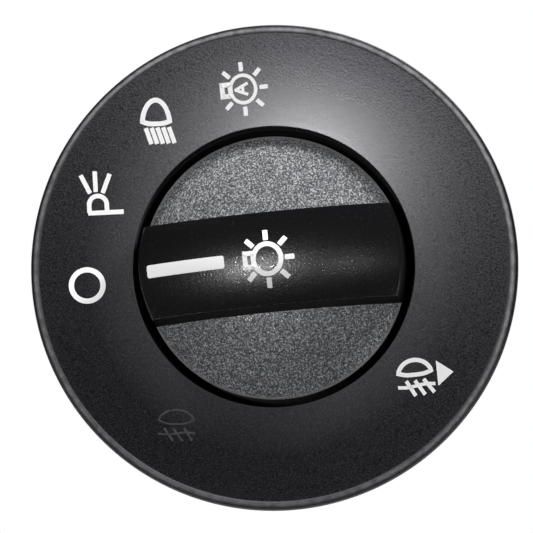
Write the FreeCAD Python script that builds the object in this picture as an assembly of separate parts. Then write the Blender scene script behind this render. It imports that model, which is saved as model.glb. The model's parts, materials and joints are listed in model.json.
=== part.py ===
import FreeCAD, Part
import math
import os

from FreeCAD import Vector

# Everything is in millimetres. The knob's axis is Y, the face looks along -Y and Z is up.
# Y = 0 is the seat, where the flange rests on the dashboard panel.
# Radii stack outward from the stem, each from the one inside it.

# Clearances
RUN_GAP = 0.05
SLIDE_GAP = 0.1
BODY_GAP = 0.3

# Lengths along the axis, each from the one before it
SPIGOT_L = 3.0
FLOOR_Y = 11.8
FLOOR_T = 2.0
DETENT_Y = FLOOR_Y + 8.2
TUBE_END_Y = DETENT_Y + 7.0
BOARD_Y = TUBE_END_Y + 3.0
BOARD_T = 1.6
WALL_END_Y = BOARD_Y + 3.4
SHROUD_END_Y = WALL_END_Y + 13.6

# Stem
STEM_R = 5.0
STEM_TOP_Y = -1.0
STEM_END_Y = DETENT_Y + 6.0
SPLINE_R = STEM_R + 0.6
SPLINE_W = 1.2
SPLINE_Y = (3.0, DETENT_Y + 2.9)
PIPE_R = STEM_R - 1.8
RING_Y = (DETENT_Y + 3.2, DETENT_Y + 3.8)
RING_R = STEM_R + 2.1
RING_GROOVE_R = STEM_R - 0.6
FOG_RING_R = STEM_R + 2.2
FOG_RING_Y = (STEM_END_Y - 1.8, STEM_END_Y)
FINGER_R = FOG_RING_R + 0.4
FINGER_T = 0.4
FINGER_W = 2.5
FINGER_START_Y = DETENT_Y - 3.5

# Rotor
POCKET_R = FINGER_R + 1.3
POCKET_Y = FLOOR_Y + FLOOR_T + 1.0
JOURNAL_R = POCKET_R + 0.1
JOURNAL_Y = FLOOR_Y - 0.6
HUB_R = POCKET_R + 3.6
HUB_Y = FLOOR_Y + FLOOR_T + BODY_GAP
REAR_JOURNAL_R = POCKET_R + 1.1
ROTOR_END_Y = BOARD_Y - 0.6
STOP_ANGLE = 250
STOP_HALF = 8

# Click positions
STEP_DEG = 28.6
STEPS = 4
PLUNGER_Y = DETENT_Y + 3.0
PLUNGER_R = 1.5
PLUNGER_BORE_IN_R = POCKET_R + 2.6
PLUNGER_IN_R = PLUNGER_BORE_IN_R + 2.9
CREST_R = PLUNGER_IN_R + 4.2
VALLEY_DEPTH = 0.8
VALLEY_CUT_R = 5.0
DISC_R = CREST_R - 0.6
DISC_Y = (DETENT_Y + BODY_GAP, DETENT_Y + 5.8)

# Housing
WELL_R = CREST_R + 2.3
CHAMBER_R = WELL_R - 1.3
TUBE_R = WELL_R + 1.7
WALL_R = TUBE_R + 6.4
WALL_T = 1.6
SPIGOT_R = WALL_R + 1.0
FLANGE_T = 1.6
KEYWAY_W = 3.0
KEYWAY_D = 1.0
BOSS_PITCH_R = TUBE_R + 2.4
BOSS_R = 2.7
BOSS_START_Y = DETENT_Y - 5.0
SCREW_ANGLES = (90, 210, 330)
LEG_ANGLES = (45, 135, 225, 315)
LEG_PITCH_R = TUBE_R + 2.2
LEG_R = 1.5
LEG_END_Y = BOARD_Y - 1.6
BARB_Y = (BOARD_Y - 2.0, BOARD_Y - 0.2)
BARB_W = 3.4
BARB_H = 0.7

# Bezel
BEZEL_R = 36.5
BEZEL_TAPER = 0.4
BEZEL_WALL = 2.2
BEZEL_HOLE_R = WELL_R + 0.2
BEZEL_INNER_Y = -3.95
BEZEL_OUTER_Y = -5.1
BEZEL_CROWN = 0.03
BEZEL_UNDER_Y = -2.8
BEZEL_REAR_Y = -0.3
BEZEL_COLLAR_T = 0.9
BEZEL_COLLAR_Y = -1.7
FLANGE_R = BEZEL_R - BEZEL_WALL - SLIDE_GAP
VALLEY_R = BEZEL_R - 2.0
RIDGE_R = BEZEL_R - 1.3
RIDGE_Y = -5.3
HOOK_IN_R = TUBE_R + 1.4
HOOK_T = 1.2
HOOK_W = 5.0
HOOK_BARB = 0.7
HOOK_END_Y = 1.4
HOOK_ANGLES = (0, 90, 180, 270)

# Contacts, board and cover
PLATE_R = WALL_R - WALL_T - SLIDE_GAP
PLATE_T = 2.5
BOARD_R = PLATE_R - BODY_GAP
TRACK_RADII = (DISC_R - 6.0, DISC_R - 4.0, DISC_R - 2.0)
TRACK_W = 1.2
TRACK_T = 0.3
TRACK_SPAN = 110
WIPER_SPAN = 22
CHIP_L = 12.0
CHIP_W = 7.0
CHIP_T = 1.4
CHIP_Z = 9.5
RESISTOR_L = 3.0
RESISTOR_W = 1.6
RESISTOR_T = 0.8
SCREW_R = 1.1
SCREW_HEAD_R = 1.9
SCREW_HEAD_T = 1.2
SCREW_TIP_Y = BOSS_START_Y + 3.0
COVER_T = 1.6
COVER_RIM_R = PLATE_R - 1.4
COVER_RIM_Y = BOARD_Y + BOARD_T + BODY_GAP
SHROUD_X = 30.0
SHROUD_Z = 16.0
SHROUD_WALL = 1.4
PIN_W = 0.8
PIN_START_Y = BOARD_Y - 0.3
PIN_END_Y = SHROUD_END_Y - 6.0
PIN_PITCH = 5.0
PIN_ROW_Z = 3.2
ARM_W = 6.0
ARM_T = 0.8
ARM_END_Y = WALL_END_Y - 6.9

# Knob
KNOB_TILT = 5.3
KNOB_R = WELL_R - 1.05
KNOB_TOP_R = KNOB_R - 0.65
RIM_Y = -2.2
DOME_Y = -7.3
DOME_R = (KNOB_R ** 2 + (RIM_Y - DOME_Y) ** 2) / (RIM_Y - DOME_Y) / 2
SKIRT_END_Y = FLOOR_Y - 3.8
KNOB_WALL = 1.7
CREST_Y = -16.9
CREST_ARC_R = 44.0
CREST_CROWN_R = 13.0
GRIP_HALF = 6.9
GRIP_BASE_HALF = 7.2
GRIP_EDGE_R = 0.6
POINTER_X = (1.75 - KNOB_R, -6.4)
POINTER_W = 1.9
POINTER_CORNER_R = 0.35
BOSS_OUT_R = STEM_R + 1.8
BOSS_END_Y = 2.0
RETURN_COIL_R = STEM_R + 1.4
RETURN_WIRE = 0.7

# Panel latches
LATCH_OUT_R = SPIGOT_R + 2.3
LATCH_IN_R = TUBE_R + 3.1
LATCH_W = 11.0
LATCH_HEAD_W = 14.0
LATCH_HEAD_T = 1.4
LATCH_Y = (SPIGOT_L + 0.7, FLOOR_Y + 0.5)
LATCH_TIP = 2.6
LATCH_BORE_R = 1.9
LATCH_BORE_END = WALL_R + 0.6
LATCH_COIL_R = 1.5
LATCH_WIRE = 0.5
GUIDE_RIB_T = 1.0


# A cylinder along Y whose axis passes through x, z
def cyl(r, y0, y1, x=0.0, z=0.0):
    return Part.makeCylinder(r, y1 - y0, Vector(x, y0, z), Vector(0, 1, 0))


# A box between two corners
def box(x0, x1, y0, y1, z0, z1):
    return Part.makeBox(x1 - x0, y1 - y0, z1 - z0, Vector(x0, y0, z0))


# A ring round Y
def ring(r_in, r_out, y0, y1):
    return cyl(r_out, y0, y1).cut(cyl(r_in, y0 - 1, y1 + 1))


# A ball on the Y axis
def ball(r, y):
    return Part.makeSphere(r, Vector(0, y, 0))


# The shape turned round Y, anticlockwise as seen from the front
def turned(shape, degrees):
    out = shape.copy()
    out.rotate(Vector(0, 0, 0), Vector(0, -1, 0), degrees)
    return out


# Copies of the shape at several angles round Y
def round_axis(shape, angles):
    return [turned(shape, a) for a in angles]


# A slice of the ring round Y, centred on angle and reaching half to each side
def sector(r_in, r_out, y0, y1, angle, half):
    start = Vector(r_in, y0, 0)
    flat = Part.Face(Part.makePolygon([
        start, Vector(r_out, y0, 0), Vector(r_out, y1, 0), Vector(r_in, y1, 0), start
    ]))
    return turned(flat.revolve(Vector(0, 0, 0), Vector(0, -1, 0), 2 * half), angle - half)


# A coil spring of square wire along Z, from z = 0 to length
def coil(radius, wire, length, turns):
    rise = length - wire
    path = Part.makeHelix(rise / turns, rise, radius)
    h = wire / 2
    corners = [(-h, -h), (h, -h), (h, h), (-h, h), (-h, -h)]
    section = Part.makePolygon([Vector(radius + a, 0, b) for a, b in corners])
    spring = Part.Wire(path.Edges).makePipeShell([section], True, True)
    spring.translate(Vector(0, 0, h))
    return spring


# The coil moved so that it starts at a point and runs along a direction
def coil_at(start, direction, radius, wire, length, turns):
    spring = coil(radius, wire, length, turns)
    turn = FreeCAD.Rotation(Vector(0, 0, 1), direction)
    spring.Placement = FreeCAD.Placement(start, turn).multiply(spring.Placement)
    return spring


def save(name, shape):
    if shape.ShapeType == "Compound" and len(shape.Solids) == 1:
        shape = shape.Solids[0]
    shape.exportStep("parts/" + name + ".step")
    print(name, len(shape.Solids), "solids, valid", shape.isValid())


# Ring cover with a crowned face, a rolled outer edge, an inner collar and four hooks
def front_bezel():
    r0 = BEZEL_HOLE_R
    collar = r0 + BEZEL_COLLAR_T
    y = BEZEL_INNER_Y
    wall_in = BEZEL_R - BEZEL_WALL
    edge = 0.25
    pts = [
        Vector(r0, y + edge, 0),
        Vector(r0 + edge, y, 0),
        Vector(VALLEY_R, BEZEL_OUTER_Y, 0),
        Vector(RIDGE_R, RIDGE_Y, 0),
        Vector(BEZEL_R, RIDGE_Y + 1.3, 0),
        Vector(BEZEL_R - BEZEL_TAPER, BEZEL_REAR_Y, 0),
        Vector(wall_in, BEZEL_REAR_Y, 0),
        Vector(wall_in, BEZEL_UNDER_Y, 0),
        Vector(collar, BEZEL_UNDER_Y, 0),
        Vector(collar, BEZEL_COLLAR_Y, 0),
        Vector(r0, BEZEL_COLLAR_Y, 0),
    ]
    face_mid = Vector((r0 + VALLEY_R) / 2, (y + BEZEL_OUTER_Y) / 2 - BEZEL_CROWN, 0)
    rise_mid = Vector((VALLEY_R + RIDGE_R) / 2 + 0.02, (BEZEL_OUTER_Y + RIDGE_Y) / 2 + 0.04, 0)
    roll_mid = Vector(BEZEL_R - 0.4, RIDGE_Y + 0.36, 0)
    edges = [
        Part.makeLine(pts[0], pts[1]),
        Part.Arc(pts[1], face_mid, pts[2]).toShape(),
        Part.Arc(pts[2], rise_mid, pts[3]).toShape(),
        Part.Arc(pts[3], roll_mid, pts[4]).toShape(),
    ]
    loop = pts[4:] + pts[:1]
    edges += [Part.makeLine(a, b) for a, b in zip(loop, loop[1:])]
    outline = Part.Face(Part.Wire(edges))
    shell = outline.revolve(Vector(0, 0, 0), Vector(0, 1, 0), 360)
    stalk = box(HOOK_IN_R, HOOK_IN_R + HOOK_T, BEZEL_UNDER_Y, HOOK_END_Y, -HOOK_W / 2, HOOK_W / 2)
    x1 = HOOK_IN_R + HOOK_T
    tooth = Part.makePolygon([
        Vector(x1, 0, -HOOK_W / 2),
        Vector(x1 + HOOK_BARB, 0, -HOOK_W / 2),
        Vector(x1 + HOOK_BARB, 0.4, -HOOK_W / 2),
        Vector(x1, HOOK_END_Y, -HOOK_W / 2),
        Vector(x1, 0, -HOOK_W / 2),
    ])
    hook = stalk.fuse(Part.Face(tooth).extrude(Vector(0, 0, HOOK_W)))
    return shell.fuse(round_axis(hook, HOOK_ANGLES)).removeSplitter()


# The space that one bezel hook needs in the pieces it passes through
def hook_windows(y0, y1):
    half = HOOK_W / 2 + SLIDE_GAP
    one = box(HOOK_IN_R - SLIDE_GAP, HOOK_IN_R + HOOK_T + SLIDE_GAP, y0, y1, -half, half)
    return round_axis(one, HOOK_ANGLES)


# Clear ring behind the pictograms, with a leg down to each lamp
def symbol_light_guide():
    plate = ring(BEZEL_HOLE_R + 1.8, FLANGE_R - 1.2, BEZEL_UNDER_Y, -FLANGE_T)
    plate = plate.cut(hook_windows(BEZEL_UNDER_Y - 1, 1))
    leg = cyl(LEG_R, BEZEL_UNDER_Y + 0.4, LEG_END_Y, LEG_PITCH_R)
    return plate.fuse(round_axis(leg, LEG_ANGLES)).removeSplitter()


# Flange, spigot, outer wall, knob well with bearing floor, rotor chamber and stops
def main_housing():
    wall_in = WALL_R - WALL_T
    body = cyl(FLANGE_R, -FLANGE_T, 0).fuse([
        cyl(SPIGOT_R, 0, SPIGOT_L),
        cyl(WALL_R, SPIGOT_L, WALL_END_Y),
    ])
    body = body.cut(cyl(wall_in, 0, WALL_END_Y + 1))
    inside = [cyl(TUBE_R, -FLANGE_T, TUBE_END_Y)]
    inside += round_axis(cyl(BOSS_R, BOSS_START_Y, TUBE_END_Y, BOSS_PITCH_R), SCREW_ANGLES)
    z = LATCH_HEAD_W / 2 + BODY_GAP
    for side in (0, 180):
        for low in (z, -z - GUIDE_RIB_T):
            rib = box(TUBE_R - 3, WALL_R, 0, LATCH_Y[1] + 1.5, low, low + GUIDE_RIB_T)
            rib = rib.common(ring(WELL_R + 0.5, wall_in + 0.5, -1, LATCH_Y[1] + 2))
            inside.append(turned(rib, side))
    body = body.fuse(inside)
    well_end = FLOOR_Y + FLOOR_T
    body = body.cut([
        cyl(WELL_R, -FLANGE_T - 1, FLOOR_Y),
        cyl(JOURNAL_R + RUN_GAP, FLOOR_Y - 1, well_end + 1),
        cyl(CHAMBER_R, well_end, DETENT_Y),
        cyl(WELL_R, DETENT_Y, TUBE_END_Y + 1),
    ])
    stops = []
    margin = STOP_HALF + 1.4 + 5
    for angle in (STOP_ANGLE + margin, STOP_ANGLE - (STEPS - 1) * STEP_DEG - margin):
        stops.append(sector(HUB_R + 0.7, CHAMBER_R + 0.6, well_end - 0.2, DETENT_Y - 0.2, angle, 5))
    body = body.fuse(stops)
    body = body.fuse(round_axis(
        box(WALL_R - 0.5, WALL_R + BARB_H, BARB_Y[0], BARB_Y[1], -BARB_W / 2, BARB_W / 2), LEG_ANGLES))
    half = LATCH_W / 2 + BODY_GAP
    cuts = []
    for side in (0, 180):
        window = box(wall_in - 0.8, SPIGOT_R + 1, LATCH_Y[0] - BODY_GAP, LATCH_Y[1] + BODY_GAP, -half, half)
        cuts.append(turned(window, side))
        seat = box(TUBE_R + 0.6, wall_in, LATCH_Y[0] - BODY_GAP, LATCH_Y[1] + BODY_GAP, -z, z)
        cuts.append(turned(seat, side))
    cuts += round_axis(cyl(LEG_R + SLIDE_GAP, -3, 1, LEG_PITCH_R), LEG_ANGLES)
    cuts += hook_windows(-3, 1)
    cuts += round_axis(cyl(SCREW_R, SCREW_TIP_Y, TUBE_END_Y + 1, BOSS_PITCH_R), SCREW_ANGLES)
    keyway = box(SPIGOT_R - KEYWAY_D, SPIGOT_R + 1, 0, SPIGOT_L, -KEYWAY_W / 2, KEYWAY_W / 2)
    cuts.append(turned(keyway, 270))
    return body.cut(cuts).removeSplitter()


# Waved ring: a valley for each click position, upper and lower
def detent_ring():
    out = ring(CREST_R, WELL_R, DETENT_Y, TUBE_END_Y)
    centre = CREST_R + VALLEY_DEPTH - VALLEY_CUT_R
    valley = cyl(VALLEY_CUT_R, DETENT_Y - 1, TUBE_END_Y + 1, centre)
    angles = []
    for first in (90, 270):
        angles += [first - i * STEP_DEG for i in range(STEPS)]
    return out.cut(round_axis(valley, angles))


# Three brass arcs flush in the contact plate, each with a pin to the board
def contact_tracks():
    out = []
    for i, r in enumerate(TRACK_RADII):
        arc = sector(r, r + TRACK_W, TUBE_END_Y, TUBE_END_Y + TRACK_T, 20 + 10 * i, TRACK_SPAN)
        pin = cyl(0.5, TUBE_END_Y + 0.1, BOARD_Y, r + TRACK_W / 2)
        out.append(arc.fuse(turned(pin, 60 + 30 * i)))
    return Part.makeCompound(out)


# Insulating plate that closes the rotor chamber and carries the rotor's rear journal
def contact_plate():
    y1 = TUBE_END_Y + PLATE_T
    plate = cyl(PLATE_R, TUBE_END_Y, y1)
    plate = plate.fuse(round_axis(cyl(BOSS_R - 0.5, y1 - 0.5, BOARD_Y, BOSS_PITCH_R), SCREW_ANGLES))
    cuts = [cyl(REAR_JOURNAL_R + RUN_GAP, TUBE_END_Y - 1, y1 + 1), contact_tracks()]
    cuts += round_axis(cyl(LEG_R + BODY_GAP, TUBE_END_Y - 1, y1 + 1, LEG_PITCH_R), LEG_ANGLES)
    cuts += round_axis(cyl(SCREW_R, TUBE_END_Y - 1, BOARD_Y + 1, BOSS_PITCH_R), SCREW_ANGLES)
    return plate.cut(cuts)


# Ten square pins with pointed ends, in two rows of five
def terminal_pins():
    h = PIN_W / 2
    shank = box(-h, h, PIN_START_Y, PIN_END_Y - 0.8, -h, h)
    base = Part.makePolygon([Vector(a, PIN_END_Y - 0.8, b) for a, b in
                             ((-h, -h), (h, -h), (h, h), (-h, h), (-h, -h))])
    s = 0.2
    top = Part.makePolygon([Vector(a, PIN_END_Y, b) for a, b in
                            ((-s, -s), (s, -s), (s, s), (-s, s), (-s, -s))])
    pin = shank.fuse(Part.makeLoft([base, top], True)).removeSplitter()
    out = []
    for row in (-1, 1):
        for i in range(5):
            one = pin.copy()
            one.translate(Vector((i - 2) * PIN_PITCH, 0, row * PIN_ROW_Z))
            out.append(one)
    return Part.makeCompound(out)


# Round circuit board, drilled for the screws and the pins
def lamp_board():
    y1 = BOARD_Y + BOARD_T
    board = cyl(BOARD_R, BOARD_Y, y1)
    cuts = round_axis(cyl(SCREW_R, BOARD_Y - 1, y1 + 1, BOSS_PITCH_R), SCREW_ANGLES)
    return board.cut(cuts + [terminal_pins()])


# One lamp behind the stem's light pipe and one behind each leg of the light guide
def board_leds():
    out = [box(-1.4, 1.4, ROTOR_END_Y - 0.05, BOARD_Y, -1.4, 1.4)]
    side = box(LEG_PITCH_R - 1.1, LEG_PITCH_R + 1.1, LEG_END_Y + 0.4, BOARD_Y, -1.1, 1.1)
    out += round_axis(side, LEG_ANGLES)
    return Part.makeCompound(out)


# Chips and resistors on the rear of the board
def board_components():
    y0 = BOARD_Y + BOARD_T
    half = CHIP_L / 2
    out = [box(-half, half, y0, y0 + CHIP_T, CHIP_Z, CHIP_Z + CHIP_W)]
    out.append(box(-2 * half, -half, y0, y0 + CHIP_T, -CHIP_Z - CHIP_W, -CHIP_Z))
    for i in range(5):
        x = i * 2 * RESISTOR_W
        low = -CHIP_Z - RESISTOR_L
        out.append(box(x, x + RESISTOR_W, y0, y0 + RESISTOR_T, low, low + RESISTOR_L))
    return Part.makeCompound(out)


# Two sprung strips on the board that reach forward beside the stem
def fog_contact_fingers():
    w = FINGER_W / 2
    strip = box(FINGER_R, FINGER_R + FINGER_T, FINGER_START_Y, BOARD_Y, -w, w)
    foot = box(FINGER_R, FINGER_R + 1.2, BOARD_Y - 0.4, BOARD_Y, -w, w)
    return Part.makeCompound(round_axis(strip.fuse(foot).removeSplitter(), (0, 180)))


# Three screws through board and contact plate into the housing bosses
def board_screws():
    y0 = BOARD_Y + BOARD_T
    head = cyl(SCREW_HEAD_R, y0, y0 + SCREW_HEAD_T, BOSS_PITCH_R)
    top = y0 + SCREW_HEAD_T
    for a, b in ((1.3, 0.3), (0.3, 1.3)):
        head = head.cut(box(BOSS_PITCH_R - a, BOSS_PITCH_R + a, top - 0.6, top + 1, -b, b))
    shank = cyl(SCREW_R, SCREW_TIP_Y + 1, y0 + 0.2, BOSS_PITCH_R)
    tip = Part.makeCone(0.2, SCREW_R, 1.0, Vector(BOSS_PITCH_R, SCREW_TIP_Y, 0), Vector(0, 1, 0))
    screw = head.fuse([shank, tip]).removeSplitter()
    return Part.makeCompound(round_axis(screw, SCREW_ANGLES))


# Lid with an inner rim, four snap arms and the shroud for the plug
def rear_cover():
    y0 = WALL_END_Y
    y1 = y0 + COVER_T
    rim = ring(COVER_RIM_R, WALL_R - WALL_T - SLIDE_GAP, COVER_RIM_Y, y0 + 0.5)
    rim = rim.cut(round_axis(cyl(SCREW_HEAD_R + 1.0, COVER_RIM_Y - 1, y0, BOSS_PITCH_R), SCREW_ANGLES))
    hx, hz = SHROUD_X / 2, SHROUD_Z / 2
    shroud = box(-hx, hx, y1 - 0.5, SHROUD_END_Y, -hz, hz)
    rails = [
        box(-3.0, 3.0, y1 - 0.5, SHROUD_END_Y - 2, hz - 0.5, hz + 1.0),
        box(-hx - 0.8, -hx + 0.5, y1 - 0.5, SHROUD_END_Y - 4, -1.5, 1.5),
        box(hx - 0.5, hx + 0.8, y1 - 0.5, SHROUD_END_Y - 4, -1.5, 1.5),
    ]
    arm = box(WALL_R - 1.5, WALL_R + 2, ARM_END_Y, y1, -ARM_W / 2, ARM_W / 2)
    arm = arm.common(ring(WALL_R, WALL_R + ARM_T, ARM_END_Y, y1))
    gap = SLIDE_GAP
    half = BARB_W / 2 + gap
    arm = arm.cut(box(WALL_R - 1, WALL_R + 2, BARB_Y[0] - gap, BARB_Y[1] + gap, -half, half))
    lid = cyl(WALL_R + ARM_T / 2, y0, y1).fuse([rim, shroud] + rails + round_axis(arm, LEG_ANGLES))
    w = SHROUD_WALL
    cuts = [box(-hx + w, hx - w, y1, SHROUD_END_Y + 1, -hz + w, hz - w)]
    h = PIN_W / 2 + SLIDE_GAP
    for row in (-1, 1):
        for i in range(5):
            x, z = (i - 2) * PIN_PITCH, row * PIN_ROW_Z
            cuts.append(box(x - h, x + h, y0 - 1, y1 + 1, z - h, z + h))
    return lid.cut(cuts).removeSplitter()


# Splined hub with front and rear journals, detent disc and stop lug
def rotor():
    body = cyl(JOURNAL_R, JOURNAL_Y, HUB_Y).fuse([
        cyl(HUB_R, HUB_Y, DISC_Y[0]),
        cyl(DISC_R, DISC_Y[0], DISC_Y[1]),
        cyl(REAR_JOURNAL_R, DISC_Y[1], ROTOR_END_Y),
        sector(HUB_R - 1, DISC_R, HUB_Y + 0.6, DISC_Y[0] + 0.2, STOP_ANGLE, STOP_HALF),
    ])
    cuts = [cyl(STEM_R + RUN_GAP, JOURNAL_Y - 1, POCKET_Y + 1), cyl(POCKET_R, POCKET_Y, ROTOR_END_Y + 1)]
    w = SPLINE_W / 2 + SLIDE_GAP
    groove = box(0, SPLINE_R + SLIDE_GAP, JOURNAL_Y - 1, POCKET_Y + 1, -w, w)
    cuts += round_axis(groove, LEG_ANGLES)
    deep = DISC_R + 1 - PLUNGER_BORE_IN_R
    for s in (1, -1):
        start = Vector(0, PLUNGER_Y, s * PLUNGER_BORE_IN_R)
        cuts.append(Part.makeCylinder(PLUNGER_R + SLIDE_GAP, deep, start, Vector(0, 0, s)))
    return body.cut(cuts).removeSplitter()


# Sprung brass segment on the rear of the rotor with three raised tips
def wiper_contacts():
    y0 = DISC_Y[1]
    r0 = TRACK_RADII[0] - TRACK_W / 2
    r1 = TRACK_RADII[-1] + 1.5 * TRACK_W
    plate = sector(r0, r1, y0, y0 + TRACK_T, 20, WIPER_SPAN)
    tips = []
    for i, r in enumerate(TRACK_RADII):
        tip = cyl(0.5, y0 + 0.1, TUBE_END_Y - BODY_GAP, r + TRACK_W / 2)
        tips.append(turned(tip, 10 + 10 * i))
    return plate.fuse(tips).removeSplitter()


# Coil between the knob's boss and the rotor
def push_return_spring():
    start = Vector(0, BOSS_END_Y + BODY_GAP, 0)
    length = JOURNAL_Y - BOSS_END_Y - BODY_GAP
    return coil_at(start, Vector(0, 1, 0), RETURN_COIL_R, RETURN_WIRE, length, 3)


# Round nosed plunger in the rotor's upper bore
def detent_plunger(side):
    tip = CREST_R - BODY_GAP
    length = tip - PLUNGER_R - PLUNGER_IN_R
    start = Vector(0, PLUNGER_Y, side * PLUNGER_IN_R)
    body = Part.makeCylinder(PLUNGER_R, length, start, Vector(0, 0, side))
    nose = Part.makeSphere(PLUNGER_R, Vector(0, PLUNGER_Y, side * (tip - PLUNGER_R)))
    return body.fuse(nose).removeSplitter()


def detent_spring(side):
    start = Vector(0, PLUNGER_Y, side * PLUNGER_BORE_IN_R)
    length = PLUNGER_IN_R - PLUNGER_BORE_IN_R
    return coil_at(start, Vector(0, 0, side), 1.1, 0.4, length - 0.05, 2)


# The solid under the domed face, out to the knob's edge
def dome_solid(r, inset, y1):
    centre = DOME_Y + DOME_R
    return cyl(r, DOME_Y - 2, y1).common(ball(DOME_R - inset, centre))


# Domed face with skirt, hollow, with a boss for the stem and four ribs
def knob_dome():
    out = dome_solid(KNOB_R, 0, SKIRT_END_Y)
    edge = [e for e in out.Edges if abs(e.BoundBox.YMin - e.BoundBox.YMax) < 0.01
            and e.BoundBox.YMax < 0 and e.BoundBox.XMax > KNOB_R - 0.1]
    out = out.makeFillet(0.25, edge)
    out = out.cut(dome_solid(KNOB_R - KNOB_WALL, KNOB_WALL, SKIRT_END_Y + 1))
    inner = dome_solid(KNOB_R - 0.5, 0.5, SKIRT_END_Y)
    boss = cyl(BOSS_OUT_R, DOME_Y, BOSS_END_Y)
    ribs = [box(BOSS_OUT_R - 0.6, KNOB_R - 1, DOME_Y, BOSS_END_Y - 0.5, -0.6, 0.6)]
    ribs = round_axis(ribs[0], LEG_ANGLES)
    out = out.fuse(boss.fuse(ribs).common(inner))
    out = out.cut([cyl(STEM_R, STEM_TOP_Y, BOSS_END_Y + 1), cyl(PIPE_R, DOME_Y - 1, STEM_TOP_Y + 1)])
    return turned(out.removeSplitter(), KNOB_TILT)


# The ball-like ring whose outer side is the crest: arched along X, crowned across
def crest_torus(inset):
    centre = Vector(0, CREST_Y + CREST_ARC_R, 0)
    return Part.makeTorus(CREST_ARC_R - CREST_CROWN_R, CREST_CROWN_R - inset, centre, Vector(0, 0, 1))


# The proud bar as a full solid: draughted sides, arched crest and ends on the knob's edge
def grip_solid():
    top, base = CREST_Y - 1, RIM_Y + 0.5
    slope = (GRIP_BASE_HALF - GRIP_HALF) / (RIM_Y - CREST_Y)
    z_top = GRIP_HALF - slope
    z_base = GRIP_BASE_HALF + slope * 0.5
    reach = KNOB_R + 5
    outline = Part.makePolygon([
        Vector(-reach, top, -z_top), Vector(-reach, top, z_top), Vector(-reach, base, z_base),
        Vector(-reach, base, -z_base), Vector(-reach, top, -z_top),
    ])
    bar = Part.Face(outline).extrude(Vector(2 * reach, 0, 0))
    run = base - top
    r_top = KNOB_TOP_R - 0.05
    cone = Part.makeCone(r_top, KNOB_R, run - 0.5, Vector(0, top, 0), Vector(0, 1, 0))
    return bar.common(cone).common(crest_torus(0))


# The slot through the crest for the pointer, with rounded corners
def pointer_slot():
    w = POINTER_W / 2
    slot = box(POINTER_X[0], POINTER_X[1], CREST_Y - 3, CREST_Y + 8, -w, w)
    along = [e for e in slot.Edges if e.BoundBox.YLength > 1]
    return slot.makeFillet(POINTER_CORNER_R, along)


# Hollow bar standing on the dome, with a window for the pointer
def knob_grip():
    full = grip_solid()
    crest = []
    for f in full.Faces:
        if isinstance(f.Surface, Part.Toroid):
            crest += f.Edges
    full = full.makeFillet(GRIP_EDGE_R, crest)
    full = full.cut(ball(DOME_R, DOME_Y + DOME_R))
    z = GRIP_HALF - KNOB_WALL
    hollow = box(-KNOB_R, KNOB_R, CREST_Y - 1, RIM_Y + 2, -z, z)
    hollow = hollow.common(cyl(KNOB_R - 2.4, CREST_Y - 1, RIM_Y + 2))
    hollow = hollow.common(crest_torus(KNOB_WALL))
    out = full.cut([hollow, pointer_slot()])
    return turned(out.removeSplitter(), KNOB_TILT)


# Pointer, feed plate under the crest and post down to the stem's light pipe
def knob_light_guide():
    z = GRIP_HALF - KNOB_WALL - 0.3
    plate = box(-KNOB_R + 2.8, 4.0, CREST_Y - 1, RIM_Y, -z, z)
    plate = plate.common(crest_torus(KNOB_WALL)).cut(crest_torus(KNOB_WALL + 1.5))
    plate = plate.common(cyl(KNOB_R - 2.7, CREST_Y - 1, RIM_Y))
    pointer = pointer_slot().common(grip_solid()).cut(crest_torus(KNOB_WALL + 1.0))
    post = cyl(PIPE_R, CREST_Y + KNOB_WALL + 1.0, STEM_TOP_Y)
    return turned(plate.fuse([pointer, post]).removeSplitter(), KNOB_TILT)


# Splined tube from the knob's boss to the fog contacts
def knob_stem():
    out = cyl(STEM_R, STEM_TOP_Y, STEM_END_Y)
    w = SPLINE_W / 2
    spline = box(STEM_R - 1.5, SPLINE_R, SPLINE_Y[0], SPLINE_Y[1], -w, w)
    out = out.fuse(round_axis(spline, LEG_ANGLES))
    groove = ring(RING_GROOVE_R, STEM_R + 1, RING_Y[0], RING_Y[1])
    return out.cut([groove, cyl(PIPE_R, STEM_TOP_Y - 1, STEM_END_Y + 1)]).removeSplitter()


def stem_light_pipe():
    return cyl(PIPE_R, STEM_TOP_Y, STEM_END_Y)


# Open clip in the stem's groove
def stem_retaining_ring():
    out = ring(RING_GROOVE_R, RING_R, RING_Y[0], RING_Y[1])
    return out.cut(box(0, RING_R + 1, RING_Y[0] - 1, RING_Y[1] + 1, -2.2, 2.2))


def fog_contact_ring():
    return ring(STEM_R, FOG_RING_R, FOG_RING_Y[0], FOG_RING_Y[1])


# T shaped slider with a ramped nose and a blind bore for its spring
def latch():
    a, b = LATCH_Y
    h = LATCH_W / 2
    nose = Part.makePolygon([
        Vector(LATCH_IN_R, a, -h), Vector(LATCH_OUT_R, a, -h), Vector(LATCH_OUT_R, a + LATCH_TIP, -h),
        Vector(WALL_R + 0.2, b, -h), Vector(LATCH_IN_R, b, -h), Vector(LATCH_IN_R, a, -h),
    ])
    body = Part.Face(nose).extrude(Vector(0, 0, LATCH_W))
    w = LATCH_HEAD_W / 2
    body = body.fuse(box(LATCH_IN_R, LATCH_IN_R + LATCH_HEAD_T, a, b, -w, w))
    start = Vector(LATCH_IN_R - 1, (a + b) / 2, 0)
    bore = Part.makeCylinder(LATCH_BORE_R, LATCH_BORE_END - LATCH_IN_R + 1, start, Vector(1, 0, 0))
    return body.cut(bore).removeSplitter()


def latch_spring():
    start = Vector(TUBE_R, (LATCH_Y[0] + LATCH_Y[1]) / 2, 0)
    length = LATCH_BORE_END - TUBE_R
    return coil_at(start, Vector(1, 0, 0), LATCH_COIL_R, LATCH_WIRE, length, 3)


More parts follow.
